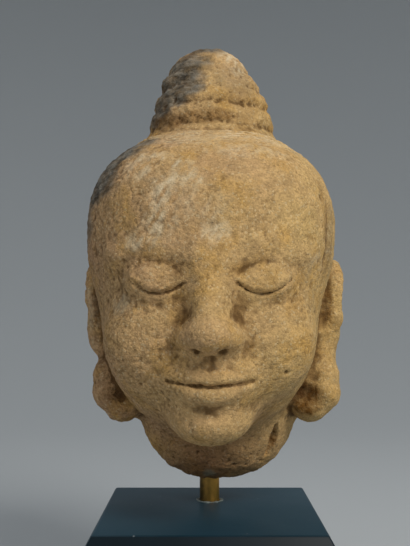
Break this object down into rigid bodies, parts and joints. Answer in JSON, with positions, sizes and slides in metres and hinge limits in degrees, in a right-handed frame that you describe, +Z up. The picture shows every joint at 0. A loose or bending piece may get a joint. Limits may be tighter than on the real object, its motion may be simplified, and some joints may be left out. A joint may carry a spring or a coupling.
{
  "type": "buddha head",
  "caption": "Carved sandstone Buddha head with a tiered hair knot and long ears, its neck broken, held by a brass rod in a black block; stands by its own weight.",
  "frame": {"origin": "centre of the black block's underside", "axes": "+Z up along the hair knot, -Y the way the face looks, +X to the viewer's right"},
  "size_m": [0.1608, 0.1608, 0.2834],
  "materials": {
    "sandstone": "carved and worn, grainy, ochre with dark stains",
    "brass": "drawn rod, dulled",
    "black_lacquer": "black lacquered wood, satin gloss"
  },
  "bodies": {
    "root": {"stone_head": "sandstone", "brass_rod": "brass", "black_base": "black_lacquer"}
  },
  "joints": []
}
